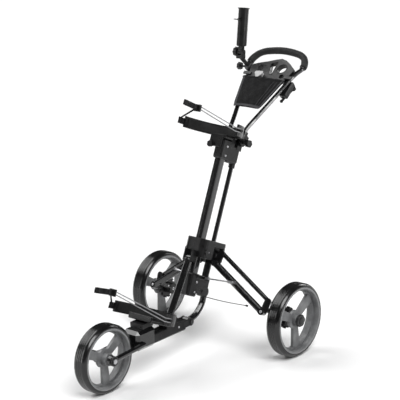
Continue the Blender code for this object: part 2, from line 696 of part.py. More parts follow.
def lower_cradle(front):
    centre = (0.0, -0.239, 0.0165)
    tip = (CRADLE_R + CRADLE_WALL + 0.0045, centre[1] + 0.012, centre[2])
    cradle = empty("lower_cradle_mount", front, front_place(*MAST_FOOT), (-MAST_LEAN, 0.0, 0.0))
    band = cradle_band(CRADLE_R, -2.0, 182.0, centre)
    tongue = box((0.110, 0.124, 0.009), (0.0, -0.1765, -0.0065), bevel=0.002)
    lip = box((0.110, 0.008, 0.020), (0.0, -0.2355, 0.0010), bevel=0.002)
    foot_at = (0.0, *to_mast(0.2050, 0.1943))
    foot = box((0.060, 0.056, 0.0170), foot_at, (MAST_LEAN, 0.0, 0.0))
    body = fuse(band, tongue, lip, foot, peg(tip, CRADLE_R + CRADLE_WALL), buckle(158.0, centre, CRADLE_R))
    add(body, "lower_cradle", cradle, BLACK_PLASTIC)
    hook = (-(CRADLE_R + CRADLE_WALL + 0.0045), centre[1] + 0.006, centre[2])
    cradle_fittings(cradle, "lower", tip, (-0.074, -0.310, 0.064), hook, (-0.10, -0.4076, 0.0603))


def upper_cradle(mast):
    radius = 0.122
    centre = (0.0, -0.111, 0.745)
    tip = (radius + CRADLE_WALL + 0.0045, centre[1] + 0.022, centre[2])
    band = cradle_band(radius, 5.0, 175.0, centre)
    shelf = box((0.060, 0.049, 0.012), (0.0, -0.0095, 0.7225), bevel=0.002)
    front = box((0.056, 0.0086, 0.048), (-0.015, -0.0297, 0.704), bevel=0.002)
    body = fuse(band, shelf, front, peg(tip, radius + CRADLE_WALL), buckle(152.0, centre, radius))
    add(body, "upper_cradle", mast, BLACK_PLASTIC)
    hook = (-(radius + CRADLE_WALL + 0.0045), centre[1] + 0.016, centre[2])
    cradle_fittings(mast, "upper", tip, (-0.070, -0.092, 0.804), hook, (-0.15, -0.178, 0.808))
    turn = empty("cradle_knob_turn", mast, (-0.030, -0.0343, 0.686))
    shape = knob(0.0125, 0.011, 7, (0.0, -0.0058, 0.0), (math.pi / 2, 0.0, 0.0))
    add(shape, "cradle_knob", turn, BLACK_PLASTIC)


# ---------------------------------------------------------------- top bracket
def top_bracket(mast):
    """Head that clamps both mast tubes and carries the handle hinge."""
    y, z = HANDLE_HINGE
    across = (1.0, 0.0, 0.0)
    clamp = box((0.040, 0.0545, 0.076), (0.0, 0.00275, 0.678), bevel=0.005)
    link = box((0.034, 0.072, 0.070), (0.0, 0.055, 0.669), bevel=0.008)
    post = box((0.040, 0.0255, 0.064), (0.0, 0.0335, 0.720), bevel=0.003)
    web = box((0.036, 0.028, 0.034), (0.0, y - 0.002, 0.705))
    sleeve = rod((0.0, STRUT_BACK, 0.620), (0.0, STRUT_BACK, 0.66), 0.0125, 20)
    boss = pin((0.0, y, z), across, 0.020, 0.0155, 24)
    body = fuse(clamp, link, post, web, sleeve, boss)
    tube_hole = mast_hole(0.60, MAST_TOP + GAP)
    rear_hole = strut_hole(0.60, MAST_TOP + 0.0020 + GAP)
    body = cut(body, tube_hole, rear_hole, pin((0.0, y, z), across, 0.04, PIVOT_PIN_R + GAP, 12))
    add(body, "top_bracket", mast, BLACK_PLASTIC)


# ---------------------------------------------------------------- handle
def rail_route(side):
    points = [(0.035, 0.008, 0.012), (0.036, 0.020, 0.026), (0.038, 0.040, RAIL_PLANE),
              (0.050, 0.0923, RAIL_PLANE), (0.080, 0.2053, RAIL_PLANE), (0.101, 0.2933, RAIL_PLANE),
              (0.113, 0.3260, RAIL_PLANE), (0.1250, 0.3450, RAIL_PLANE), (0.1270, 0.3558, RAIL_PLANE)]
    return smooth_route([mirrored(point, side) for point in points], 3)


def handle_frame(handle):
    """Hinge foot, two rails and the arched grip."""
    across = (1.0, 0.0, 0.0)
    foot = box((0.092, 0.038, 0.0150), (0.0, 0.014, 0.0250), bevel=0.003)
    for side in (1, -1):
        cheek = pin((side * 0.0245, 0.0, 0.0), across, 0.0040, 0.0160, 24)
        tie = box((0.0080, 0.026, 0.024), (side * 0.0245, 0.003, 0.012))
        socket = box((0.0210, 0.026, 0.020), (side * 0.0355, 0.010, 0.012), bevel=0.002)
        foot = fuse(foot, cheek, tie, socket)
    rails = [pipe(past_start(rail_route(side)), RAIL_R + GAP) for side in (1, -1)]
    foot = cut(foot, *rails, pin((0.0, 0.0, 0.0), across, 0.08, PIVOT_PIN_R + GAP, 12))
    add(foot, "handle_foot", handle, BLACK_PLASTIC)
    for side, tag in ((1, "R"), (-1, "L")):
        add(pipe(rail_route(side), RAIL_R), "handle_rail_" + tag, handle, ALLOY)
    top = RAIL_END + GRIP_RISE
    half = [(0.1270, 0.3567), (0.1268, 0.3660), (0.1190, 0.3860), (0.1010, 0.4060), (0.0660, 0.4195)]
    points = half + [(0.0, top)] + [(-x, y) for x, y in reversed(half)]
    route = smooth_route([(x, y, RAIL_PLANE) for x, y in points], 3)
    add(pipe(route, GRIP_R, 3), "grip", handle, FOAM)
    turn = empty("handle_knob_turn", handle, (0.0, 0.0, 0.0))
    bolt = rod((-0.0300, 0.0, 0.0), (0.0500, 0.0, 0.0), PIVOT_PIN_R, 12)
    grip_knob = knob(0.0150, 0.013, 6, (0.0540, 0.0, 0.0), FACE_X)
    add(fuse(grip_knob, bolt), "handle_clamp_knob", turn, BLACK_PLASTIC)


def console(handle):
    """Tray between the rails with a ball well, two wedge windows and a pencil hole."""
    outline = [(-0.086, 0.2750), (0.086, 0.2750), (0.1015, 0.3280), (0.1010, 0.3370), (0.070, 0.3600),
               (0.045, 0.3740), (0.021, 0.3800), (-0.006, 0.3720), (-0.030, 0.3620), (-0.066, 0.3510),
               (-0.1010, 0.3370), (-0.1015, 0.3280)]
    holes = [circle(BALL_WELL_R, 24, BALL_WELL_AT), circle(0.0080, 12, (0.063, 0.2960)),
             [(-0.066, 0.3270), (-0.050, 0.3020), (-0.034, 0.3420), (-0.058, 0.3400)],
             [(-0.016, 0.3520), (0.000, 0.3000), (0.014, 0.3000), (0.012, 0.3620)]]
    body = plate(outline, 0.020, (0.0, 0.0, 0.036), holes=holes)
    for side in (1, -1):
        tab = box((0.036, 0.014, 0.0070), (side * 0.0980, 0.2920, 0.0477), bevel=0.0015)
        body = fuse(body, tab)
    add(body, "console", handle, BLACK_PLASTIC)
    clip = box((0.024, 0.016, 0.006), (-0.031, 0.2880, 0.046 + GAP + 0.003), bevel=0.001)
    add(clip, "console_clip", handle, GREY_PLASTIC)
    pouch_outline = [(-0.104, 0.2735), (0.084, 0.2735), (0.056, 0.150), (0.050, 0.122), (-0.064, 0.130),
                     (-0.074, 0.156)]
    add(plate(pouch_outline[::-1], 0.016, (0.0, 0.0, 0.0525)), "net_pouch", handle, FABRIC)
    housing = box((0.034, 0.070, 0.024), (0.092, 0.262, 0.0095), bevel=0.004)
    add(housing, "brake_housing", handle, BLACK_PLASTIC)
    pivot = Vector((0.1000, 0.2860, -0.0085))
    turn = empty("brake_lever_turn", handle, pivot)
    reach = Vector((0.080, 0.2200, -0.0085)) - pivot
    lever = fuse(rod((0.0, 0.0, 0.0), reach, 0.0050, 12), pin((0.0, 0.0, 0.0), UP, 0.0050, 0.0095, 20),
                 ball(reach, 0.0065))
    lever = cut(lever, box((0.2, 0.2, 0.02), (0.0, 0.0, 0.0155)))
    add(lever, "brake_lever", turn, BLACK_PLASTIC)


# ---------------------------------------------------------------- umbrella holder
def umbrella_holder(handle):
    across = (1.0, 0.0, 0.0)
    knuckle = Vector(UMBRELLA_KNUCKLE)
    along = Vector((0.0, math.sin(UMBRELLA_TILT), math.cos(UMBRELLA_TILT)))
    clamp = box((0.0275, 0.024, 0.026), (-0.12125, 0.332, RAIL_PLANE), bevel=0.002)
    base = box((0.0276, 0.024, 0.012), knuckle - along * 0.0190, (-UMBRELLA_TILT, 0.0, 0.0))
    arm = rod(knuckle - along * 0.0190, (-0.126, 0.334, 0.040), 0.0080, 16)
    body = fuse(clamp, arm, base)
    for side in (1, -1):
        at = knuckle + Vector((side * 0.0113, 0.0, 0.0))
        body = fuse(body, pin(at, across, 0.0025, 0.0110, 20),
                    box((0.0050, 0.022, 0.020), at - along * 0.010, (-UMBRELLA_TILT, 0.0, 0.0)))
    body = cut(body, pipe(rail_route(-1), RAIL_R + GAP), pin(knuckle, across, 0.03, PIVOT_PIN_R + GAP, 12))
    add(body, "umbrella_bracket", handle, BLACK_PLASTIC)

    tilt = empty("umbrella_tilt", handle, knuckle, (-UMBRELLA_TILT, 0.0, 0.0))
    tube = ring(0.0200, 0.0165, 0.1450, 22, (0.0, 0.0, 0.0995), (0.0, 0.0, 0.0))
    flange = ring(0.0232, 0.0180, 0.0030, 22, (0.0, 0.0, 0.1700), (0.0, 0.0, 0.0))
    floor = rod((0.0, 0.0, 0.0240), (0.0, 0.0, 0.0300), 0.0190, 22)
    lug = pin((0.0, 0.0, 0.0), across, 0.0080, 0.0108, 20)
    neck = box((0.0160, 0.0190, 0.0270), (0.0, 0.0, 0.0140))
    boss = rod((0.0, -0.0175, 0.1276), (0.0, -0.0260, 0.1276), 0.0070, 16)
    body = fuse(tube, flange, floor, lug, neck, boss)
    body = cut(body, pin((0.0, 0.0, 0.0), across, 0.03, PIVOT_PIN_R + GAP, 12),
               rod((0.0, -0.0180, 0.1276), (0.0, -0.0300, 0.1276), 0.0033, 12))
    add(body, "umbrella_tube", tilt, BLACK_PLASTIC)
    knob_turn = empty("umbrella_knob_turn", handle, knuckle)
    bolt = rod((0.0130, 0.0, 0.0), (-0.0200, 0.0, 0.0), PIVOT_PIN_R, 12)
    dome = knob(0.0185, 0.014, 8, (-0.0214, 0.0, 0.0), FACE_X, 0.0020)
    add(fuse(dome, bolt), "umbrella_tilt_knob", knob_turn, BLACK_PLASTIC)
    clamp_turn = empty("clamp_knob_turn", handle, (-0.1353, 0.3260, 0.0400))
    shape = fuse(rod((0.0, 0.0, 0.0), (-0.020, 0.0, 0.0), 0.0040, 12),
                 knob(0.0150, 0.012, 7, (-0.0240, 0.0, 0.0), FACE_X, 0.0018))
    add(shape, "clamp_knob", clamp_turn, BLACK_PLASTIC)
    screw_turn = empty("wing_screw_turn", tilt, (0.0, -0.0183, 0.1276))
    shape = fuse(rod((0.0, 0.0, 0.0), (0.0, -0.0170, 0.0), 0.0030, 12),
                 box((0.0260, 0.0120, 0.0032), (0.0, -0.0200, 0.0), bevel=0.001))
    add(shape, "wing_screw", screw_turn, BLACK_PLASTIC)


# ---------------------------------------------------------------- assembly
clear_scene()
PARTS = bpy.data.collections.new("golf_push_cart")
bpy.context.scene.collection.children.link(PARTS)

ALLOY = make_material("black_alloy", (0.020, 0.020, 0.022), 0.30, 0.0)
BLACK_PLASTIC = make_material("black_plastic", (0.022, 0.022, 0.024), 0.45, 0.0)
HUB_BLACK = make_material("hub_black", (0.015, 0.015, 0.016), 0.35, 0.0)
GREY_PLASTIC = make_material("grey_plastic", (0.420, 0.420, 0.420), 0.45, 0.0)
RIM = make_material("charcoal_rim", (0.085, 0.087, 0.092), 0.40, 0.0)
TYRE = make_material("tyre_rubber", (0.020, 0.020, 0.020), 0.55, 0.0)
STEEL = make_material("steel", (0.550, 0.550, 0.560), 0.30, 1.0)
ELASTIC = make_material("grey_elastic", (0.300, 0.300, 0.310), 0.80, 0.0)
WEBBING = make_material("webbing", (0.030, 0.030, 0.032), 0.85, 0.0)
FABRIC = make_material("pouch_net", (0.018, 0.018, 0.020), 0.90, 0.0)
FOAM = make_material("grip_foam", (0.020, 0.020, 0.021), 0.75, 0.0)

CART = empty("cart", None, (0.0, -ORIGIN_Y, 0.0))
MAST = mast_frame(CART)
frame_block(MAST)
swan_tube(MAST)
top_bracket(MAST)
upper_cradle(MAST)

YOKE = empty("yoke_slide", MAST, (0.0, 0.0, 0.0))
yoke_housing(YOKE)
brace(YOKE)
for SIDE, TAG in ((1, "R"), (-1, "L")):
    rear_leg(YOKE, SIDE, TAG)
    stretcher(MAST, SIDE, TAG)
    brake_cable(MAST, SIDE, TAG)

FRONT = empty("front_fold", CART, (0.0, *FRONT_HINGE))
front_frame(FRONT)
front_wheel(FRONT)
lower_cradle(FRONT)

HANDLE = empty("handle_fold", MAST, (0.0, *HANDLE_HINGE), (HANDLE_PITCH + MAST_LEAN, 0.0, 0.0))
handle_frame(HANDLE)
console(HANDLE)
umbrella_holder(HANDLE)
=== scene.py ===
"""Folding golf push cart: materials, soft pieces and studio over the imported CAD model."""
import json
import math

import bmesh
import bpy
from mathutils import Matrix, Vector


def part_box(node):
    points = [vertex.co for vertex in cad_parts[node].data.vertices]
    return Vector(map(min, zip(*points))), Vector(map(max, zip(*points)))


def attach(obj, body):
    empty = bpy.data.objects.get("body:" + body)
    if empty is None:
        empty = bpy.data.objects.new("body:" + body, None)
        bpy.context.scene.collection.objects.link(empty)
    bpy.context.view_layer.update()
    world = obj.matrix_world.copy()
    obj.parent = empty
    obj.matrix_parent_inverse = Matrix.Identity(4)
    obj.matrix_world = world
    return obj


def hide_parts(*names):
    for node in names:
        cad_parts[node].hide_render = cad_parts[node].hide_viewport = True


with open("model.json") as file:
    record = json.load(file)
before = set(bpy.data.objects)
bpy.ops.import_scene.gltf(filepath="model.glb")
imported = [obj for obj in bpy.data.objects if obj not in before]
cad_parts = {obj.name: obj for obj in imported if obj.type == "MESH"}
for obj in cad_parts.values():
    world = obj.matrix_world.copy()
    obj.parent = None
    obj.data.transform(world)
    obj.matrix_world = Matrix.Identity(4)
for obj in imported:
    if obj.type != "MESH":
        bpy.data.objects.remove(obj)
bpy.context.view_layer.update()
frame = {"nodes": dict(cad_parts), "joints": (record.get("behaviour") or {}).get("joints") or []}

# ---------------------------------------------------------------- places read from the frame
X_AXIS = Vector((1.0, 0.0, 0.0))
JOINTS = {joint["name"]: joint for joint in frame["joints"]}


def joint_place(name):
    return Vector(JOINTS[name]["pos_m"])


def joint_axis(name):
    return Vector(JOINTS[name]["axis"]).normalized()


MAST_UP = joint_axis("yoke_slide")
MAST_BACK = MAST_UP.cross(X_AXIS)
YOKE_LEVEL = 0.300                    # how far up the mast the yoke's joint is
MAST_FOOT = joint_place("yoke_slide") - MAST_UP * YOKE_LEVEL
HANDLE_HINGE = joint_place("handle_fold")
HANDLE_NORMAL = joint_axis("brake_lever_turn")
HANDLE_ALONG = HANDLE_NORMAL.cross(X_AXIS)
RAIL_PLANE = 0.035                    # the rails' height above the handle's hinge


def mast(x, back, up):
    return MAST_FOOT + X_AXIS * x + MAST_BACK * back + MAST_UP * up


def handle(x, along, normal):
    return HANDLE_HINGE + X_AXIS * x + HANDLE_ALONG * along + HANDLE_NORMAL * normal


SIDES = ((1, "R"), (-1, "L"))         # R is +X


def hump(x, middle, width):
    """1 at the middle, falling away smoothly on both sides."""
    return math.exp(-((x - middle) / width) ** 2)


# ---------------------------------------------------------------- node helpers
class Nodes:
    """Small wrapper that adds and links shader nodes."""

    def __init__(self, name):
        self.material = bpy.data.materials.new(name)
        self.material.use_nodes = True
        self.tree = self.material.node_tree
        self.shader = self.tree.nodes["Principled BSDF"]
        self.place = self.add("ShaderNodeTexCoord").outputs["Object"]

    def add(self, kind, **settings):
        node = self.tree.nodes.new(kind)
        for key, value in settings.items():
            setattr(node, key, value)
        return node

    def feed(self, socket, value):
        if hasattr(value, "is_output"):
            self.tree.links.new(value, socket)
        else:
            socket.default_value = value

    def math(self, operation, first, second=0.0):
        node = self.add("ShaderNodeMath", operation=operation)
        self.feed(node.inputs[0], first)
        self.feed(node.inputs[1], second)
        return node.outputs[0]

    def noise(self, scale, detail=4.0, place=None):
        node = self.add("ShaderNodeTexNoise")
        node.inputs["Scale"].default_value = scale
        node.inputs["Detail"].default_value = detail
        self.tree.links.new(place or self.place, node.inputs["Vector"])
        return node.outputs["Fac"]

    def wave(self, scale, direction, place=None, distortion=0.0):
        node = self.add("ShaderNodeTexWave", wave_type="BANDS", bands_direction=direction)
        node.inputs["Scale"].default_value = scale
        node.inputs["Distortion"].default_value = distortion
        self.tree.links.new(place or self.place, node.inputs["Vector"])
        return node.outputs["Fac"]

    def spread(self, value, low, high, start=0.3, stop=0.7):
        node = self.add("ShaderNodeMapRange")
        self.feed(node.inputs["Value"], value)
        node.inputs["From Min"].default_value = start
        node.inputs["From Max"].default_value = stop
        node.inputs["To Min"].default_value = low
        node.inputs["To Max"].default_value = high
        return node.outputs["Result"]

    def blend_colours(self, fac, dark, light):
        node = self.add("ShaderNodeMix", data_type="RGBA")
        self.feed(node.inputs[0], fac)
        node.inputs[6].default_value = (*dark, 1.0)
        node.inputs[7].default_value = (*light, 1.0)
        self.tree.links.new(node.outputs[2], self.shader.inputs["Base Color"])

    def bump(self, height, strength, distance):
        node = self.add("ShaderNodeBump")
        node.inputs["Strength"].default_value = strength
        node.inputs["Distance"].default_value = distance
        self.feed(node.inputs["Height"], height)
        self.tree.links.new(node.outputs["Normal"], self.shader.inputs["Normal"])

    def roughness(self, value):
        self.feed(self.shader.inputs["Roughness"], value)


def painted_edge_highlight(nodes):
    """Painted highlight: pale where an edge sticks out, standing in for light caught on the edge."""
    sharp = nodes.add("ShaderNodeNewGeometry").outputs["Pointiness"]
    return nodes.spread(sharp, 0.0, 0.7, 0.54, 0.66)


# ---------------------------------------------------------------- materials
# The darkest and the palest linear colour of each finish.
PAINT_SHADES = (0.0020, 0.0020, 0.0022), (0.0130, 0.0130, 0.0138)
PLASTIC_SHADES = (0.0014, 0.0014, 0.0015), (0.0095, 0.0095, 0.0100)
CAP_SHADES = (0.0040, 0.0040, 0.0040), (0.0200, 0.0200, 0.0208)
GREY_SHADES = (0.300, 0.300, 0.300), (0.520, 0.520, 0.520)
PAD_SHADES = (0.0050, 0.0050, 0.0050), (0.0140, 0.0140, 0.0145)
TYRE_SHADES = (0.0025, 0.0025, 0.0025), (0.0095, 0.0095, 0.0100)
RIM_SHADES = (0.090, 0.092, 0.094), (0.260, 0.264, 0.268)
STEEL_SHADES = (0.30, 0.30, 0.31), (0.62, 0.62, 0.64)
ELASTIC_SHADES = (0.060, 0.060, 0.062), (0.300, 0.300, 0.310)
WEBBING_SHADES = (0.0035, 0.0035, 0.0040), (0.0180, 0.0180, 0.0190)
BINDING_SHADES = (0.030, 0.030, 0.032), (0.095, 0.095, 0.100)
NET_SHADES = (0.0018, 0.0018, 0.0020), (0.0090, 0.0090, 0.0098)
FOAM_SHADES = (0.0018, 0.0018, 0.0019), (0.0060, 0.0060, 0.0063)
FLOOR_SHADES = (0.88, 0.88, 0.88), (0.91, 0.91, 0.91)

FINE_RELIEF = 0.0005                  # height of most surface grain


def gloss_paint():
    nodes = Nodes("gloss_black_paint")
    blotch = nodes.math("MULTIPLY", nodes.noise(14.0), 0.3)
    # the base colour takes a painted highlight on sticking-out edges
    nodes.blend_colours(nodes.math("ADD", blotch, painted_edge_highlight(nodes)), *PAINT_SHADES)
    nodes.roughness(nodes.spread(nodes.noise(60.0), 0.10, 0.20))
    nodes.shader.inputs["Coat Weight"].default_value = 0.4
    nodes.shader.inputs["Coat Roughness"].default_value = 0.06
    nodes.bump(nodes.noise(420.0, 2.0), 0.06, 0.0004)
    return nodes.material


def moulded_plastic(name, dark, light, low, high, grain=900.0, strength=0.22):
    nodes = Nodes(name)
    mottle = nodes.spread(nodes.noise(22.0), 0.0, 0.55)
    # the base colour takes a painted highlight on sticking-out edges
    nodes.blend_colours(nodes.math("ADD", mottle, painted_edge_highlight(nodes)), dark, light)
    nodes.roughness(nodes.spread(nodes.noise(90.0), low, high))
    nodes.shader.inputs["Specular IOR Level"].default_value = 0.30
    nodes.bump(nodes.noise(grain, 3.0), strength, FINE_RELIEF)
    return nodes.material


def wheel_radius(nodes, centre):
    """Distance from a wheel's axle, angle round it and place along it."""
    shift = nodes.add("ShaderNodeVectorMath", operation="SUBTRACT")
    nodes.tree.links.new(nodes.place, shift.inputs[0])
    shift.inputs[1].default_value = centre
    split = nodes.add("ShaderNodeSeparateXYZ")
    nodes.tree.links.new(shift.outputs[0], split.inputs[0])
    y, z = split.outputs["Y"], split.outputs["Z"]
    squares = nodes.math("ADD", nodes.math("MULTIPLY", y, y), nodes.math("MULTIPLY", z, z))
    return nodes.math("SQRT", squares), nodes.math("ARCTAN2", z, y), split.outputs["X"]


RING_PITCH = 0.0036
RIB_PITCH = 0.0085
TREAD_BLOCKS = 96.0


def tyre_rubber(name, centre, outer):
    """Sidewall rings and a fine-ribbed tread on glossy foam rubber."""
    nodes = Nodes(name)
    radius, angle, across = wheel_radius(nodes, centre)
    rings = nodes.math("SINE", nodes.math("MULTIPLY", radius, math.tau / RING_PITCH))
    ribs = nodes.math("SINE", nodes.math("MULTIPLY", across, math.tau / RIB_PITCH))
    blocks = nodes.math("SINE", nodes.math("MULTIPLY", angle, TREAD_BLOCKS))
    tread = nodes.spread(radius, 0.0, 1.0, outer - 0.0035, outer - 0.0015)
    pattern = nodes.math("MAXIMUM", ribs, nodes.math("MULTIPLY", blocks, 0.35))
    on_tread = nodes.math("MULTIPLY", pattern, tread)
    faint_rings = nodes.math("MULTIPLY", rings, 0.35)
    on_side = nodes.math("MULTIPLY", faint_rings, nodes.math("SUBTRACT", 1.0, tread))
    grain = nodes.math("MULTIPLY", nodes.noise(700.0, 3.0), 0.15)
    relief = nodes.math("ADD", nodes.math("ADD", on_tread, on_side), grain)
    nodes.bump(relief, 0.10, FINE_RELIEF)
    nodes.blend_colours(nodes.spread(nodes.noise(18.0), 0.0, 1.0), *TYRE_SHADES)
    nodes.roughness(nodes.spread(nodes.noise(45.0), 0.13, 0.24))
    return nodes.material


def rim_plastic(name, centre, lip):
    """Satin grey plastic, with a painted highlight: paler towards the outer lip."""
    nodes = Nodes(name)
    radius, _, _ = wheel_radius(nodes, centre)
    # painted highlight: the colour pales towards the rim's outer lip
    painted_lip_highlight = nodes.spread(radius, 0.0, 0.8, lip - 0.008, lip)
    mottle = nodes.spread(nodes.noise(30.0), 0.0, 0.5)
    nodes.blend_colours(nodes.math("MAXIMUM", painted_lip_highlight, mottle), *RIM_SHADES)
    nodes.roughness(nodes.spread(nodes.noise(75.0), 0.30, 0.48))
    nodes.bump(nodes.noise(650.0, 3.0), 0.18, FINE_RELIEF)
    return nodes.material


def brushed_steel():
    nodes = Nodes("brushed_steel")
    stretch = nodes.add("ShaderNodeMapping")
    stretch.inputs["Scale"].default_value = (40.0, 600.0, 600.0)
    nodes.tree.links.new(nodes.place, stretch.inputs["Vector"])
    lines = nodes.noise(1.0, 6.0, stretch.outputs["Vector"])
    nodes.blend_colours(lines, *STEEL_SHADES)
    nodes.roughness(nodes.spread(lines, 0.22, 0.42))
    nodes.shader.inputs["Metallic"].default_value = 1.0
    nodes.bump(lines, 0.10, 0.0002)
    return nodes.material


BRAID_SCALE = 160.0


def braided_elastic():
    nodes = Nodes("braided_elastic")
    one = nodes.wave(BRAID_SCALE, "DIAGONAL")
    turn = nodes.add("ShaderNodeMapping")
    turn.inputs["Scale"].default_value = (-1.0, 1.0, 1.0)
    nodes.tree.links.new(nodes.place, turn.inputs["Vector"])
    other = nodes.wave(BRAID_SCALE, "DIAGONAL", turn.outputs["Vector"])
    weave = nodes.math("MAXIMUM", one, other)
    nodes.blend_colours(weave, *ELASTIC_SHADES)
    nodes.roughness(nodes.spread(nodes.noise(120.0), 0.65, 0.85))
    nodes.bump(weave, 0.5, 0.0004)
    return nodes.material


def cloth(name, dark, light, pitch, strength=0.55):
    """Plain weave: two crossing sets of threads."""
    nodes = Nodes(name)
    scale = 1.0 / (pitch * 2.0)
    threads = nodes.math("MULTIPLY", nodes.wave(scale, "X"), nodes.wave(scale, "Z"))
    faint_threads = nodes.math("MULTIPLY", threads, 0.6)
    mottle = nodes.spread(nodes.noise(26.0), 0.0, 0.4)
    nodes.blend_colours(nodes.math("ADD", faint_threads, mottle), dark, light)
    nodes.roughness(nodes.spread(nodes.noise(80.0), 0.75, 0.95))
    nodes.shader.inputs["Sheen Weight"].default_value = 0.04
    nodes.shader.inputs["Specular IOR Level"].default_value = 0.18
    nodes.bump(threads, strength, FINE_RELIEF)
    return nodes.material


def foam():
    nodes = Nodes("grip_foam")
    cells = nodes.add("ShaderNodeTexVoronoi")
    cells.inputs["Scale"].default_value = 700.0
    nodes.tree.links.new(nodes.place, cells.inputs["Vector"])
    nodes.blend_colours(nodes.spread(nodes.noise(34.0), 0.0, 1.0), *FOAM_SHADES)
    nodes.roughness(nodes.spread(nodes.noise(70.0), 0.62, 0.82))
    nodes.bump(cells.outputs["Distance"], 0.45, FINE_RELIEF)
    return nodes.material


PAINT = gloss_paint()
PLASTIC = moulded_plastic("black_moulding", *PLASTIC_SHADES, low=0.26, high=0.42)
CAP = moulded_plastic("hub_moulding", *CAP_SHADES, low=0.26, high=0.40, grain=500.0, strength=0.12)
GREY = moulded_plastic("grey_moulding", *GREY_SHADES, low=0.35, high=0.50)
RUBBER_PAD = moulded_plastic("pad_rubber", *PAD_SHADES, low=0.55, high=0.75, grain=1400.0, strength=0.5)
STEEL = brushed_steel()
ELASTIC = braided_elastic()
WEBBING = cloth("black_webbing", *WEBBING_SHADES, pitch=0.0011)
BINDING = cloth("grey_binding", *BINDING_SHADES, pitch=0.0009)
NET = cloth("pouch_cloth", *NET_SHADES, pitch=0.0017, strength=0.8)
FOAM = foam()


def paint_frame():
    """Gives each CAD node that stays its own finish."""
    shiny = ("main_tube", "strut_tube", "lower_bent_tube", "front_brace", "front_fork")
    for name, node in frame["nodes"].items():
        side = name.rsplit("_", 1)[0]
        low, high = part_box(name)
        if side in ("leg_tube", "link_tube", "handle_rail") or name in shiny:
            material = PAINT
        elif "rim" in name:
            material = rim_plastic(name + "_plastic", (low + high) / 2, (high.z - low.z) / 2)
        elif side in ("stretcher_rod", "rear_axle", "brake_plunger") or name == "front_axle":
            material = STEEL
        elif "bungee" in name:
            material = ELASTIC
        elif side == "hub_cap":
            material = CAP
        elif name == "console_clip":
            material = GREY
        else:
            material = PLASTIC
        for material_slot in node.material_slots:
            material_slot.material = material


# ---------------------------------------------------------------- mesh pieces
SHARP_EDGE = math.radians(50.0)


def piece(name, verts, faces, material, body, replaces=(), subdivide=0):
    mesh = bpy.data.meshes.new(name)
    mesh.from_pydata([tuple(v) for v in verts], [], faces)
    build = bmesh.new()
    build.from_mesh(mesh)
    bmesh.ops.recalc_face_normals(build, faces=build.faces)
    build.to_mesh(mesh)
    build.free()
    mesh.materials.append(material)
    obj = bpy.data.objects.new(name, mesh)
    bpy.context.scene.collection.objects.link(obj)
    mesh.shade_smooth()
    mesh.set_sharp_from_angle(angle=SHARP_EDGE)
    if subdivide:
        smooth = obj.modifiers.new("smooth", "SUBSURF")
        smooth.levels = subdivide
        smooth.render_levels = subdivide
    if replaces:
        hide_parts(*replaces)
    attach(obj, body)
    return obj


def bridge(rings, sides, closed=False):
    """Faces between rings of points, with flat ends unless the rings close up."""
    faces = []
    count = len(rings)
    for i in range(count if closed else count - 1):
        here, there = i * sides, ((i + 1) % count) * sides
        for k in range(sides):
            turn = (k + 1) % sides
            faces.append((here + k, here + turn, there + turn, there + k))
    if not closed:
        faces.append(tuple(range(sides)))
        faces.append(tuple((count - 1) * sides + k for k in range(sides)))
    return faces


def sweep(name, path, section, normal, material, body, replaces=(), closed=False):
    """A section carried along a path. section(t) gives (sideways, up) pairs, up along normal."""
    rings = []
    count = len(path)
    for i, point in enumerate(path):
        ahead = path[(i + 1) % count] if closed or i < count - 1 else point
        behind = path[i - 1] if closed or i > 0 else point
        tangent = (ahead - behind).normalized()
        up = (normal - tangent * normal.dot(tangent)).normalized()
        side = tangent.cross(up)
        rings.append([point + side * a + up * b for a, b in section(i / (count - 1))])
    verts = [vert for ring in rings for vert in ring]
    return piece(name, verts, bridge(rings, len(rings[0]), closed), material, body, replaces)


def lathe(name, profile, at, axis, steps, material, body, replaces=(), closed=False):
    """A profile of (radius, height) pairs turned about an axis through at."""
    axis = Vector(axis).normalized()
    side = axis.orthogonal().normalized()
    other = axis.cross(side)
    rings = []
    turns = [math.tau * k / steps for k in range(steps)]
    spokes = [side * math.cos(turn) + other * math.sin(turn) for turn in turns]
    for radius, height in profile:
        rings.append([Vector(at) + axis * height + spoke * radius for spoke in spokes])
    verts = [vert for ring in rings for vert in ring]
    return piece(name, verts, bridge(rings, steps, closed), material, body, replaces)


def circle_section(radius, sides):
    turns = [math.tau * k / sides for k in range(sides)]
    return [(radius * math.cos(turn), radius * math.sin(turn)) for turn in turns]


def strap_section(width, thickness):
    """A flat strap's section with thick selvedges."""
    half, thin = width / 2, thickness / 2
    left = [(-half, thin * 0.6), (-half * 0.93, thin), (-half * 0.84, thin * 0.8)]
    top = left + [(-a, b) for a, b in reversed(left)]
    return top + [(a, -b) for a, b in reversed(top)]


def on_edge(section):
    """The section stood on edge, for a strap whose width runs along the normal."""
    return [(b, a) for a, b in section]


def curve_through(points, steps):
    """Smooth curve through the points, with so many steps between each two."""
    points = [Vector(point) for point in points]
    padded = [2 * points[0] - points[1], *points, 2 * points[-1] - points[-2]]
    route = [points[0]]
    for before, start, end, after in zip(padded, padded[1:], padded[2:], padded[3:]):
        for step in range(1, steps + 1):
            t = step / steps
            route.append(0.5 * (2 * start + (end - before) * t
                                + (2 * before - 5 * start + 4 * end - after) * t ** 2
                                + (3 * start - before - 3 * end + after) * t ** 3))
    return route


def rivet(name, at, axis, radius, body):
    profile = [(radius, 0.0), (radius, radius * 0.15), (radius * 0.86, radius * 0.36),
               (radius * 0.5, radius * 0.52), (radius * 0.06, radius * 0.56)]
    return lathe(name, profile, at, axis, 20, STEEL, body)


# ---------------------------------------------------------------- handle
GRIP_RADIUS = 0.0138
COLLAR_REACH = 0.1268                 # how far the grip's collars are from the middle


def grip_route():
    half = [(0.1270, 0.3567), (0.1268, 0.3660), (0.1190, 0.3860), (0.1010, 0.4060), (0.0660, 0.4195)]
    points = half + [(0.0, 0.42680)] + [(-x, y) for x, y in reversed(half)]
    return curve_through([handle(x, y, RAIL_PLANE) for x, y in points], 12)


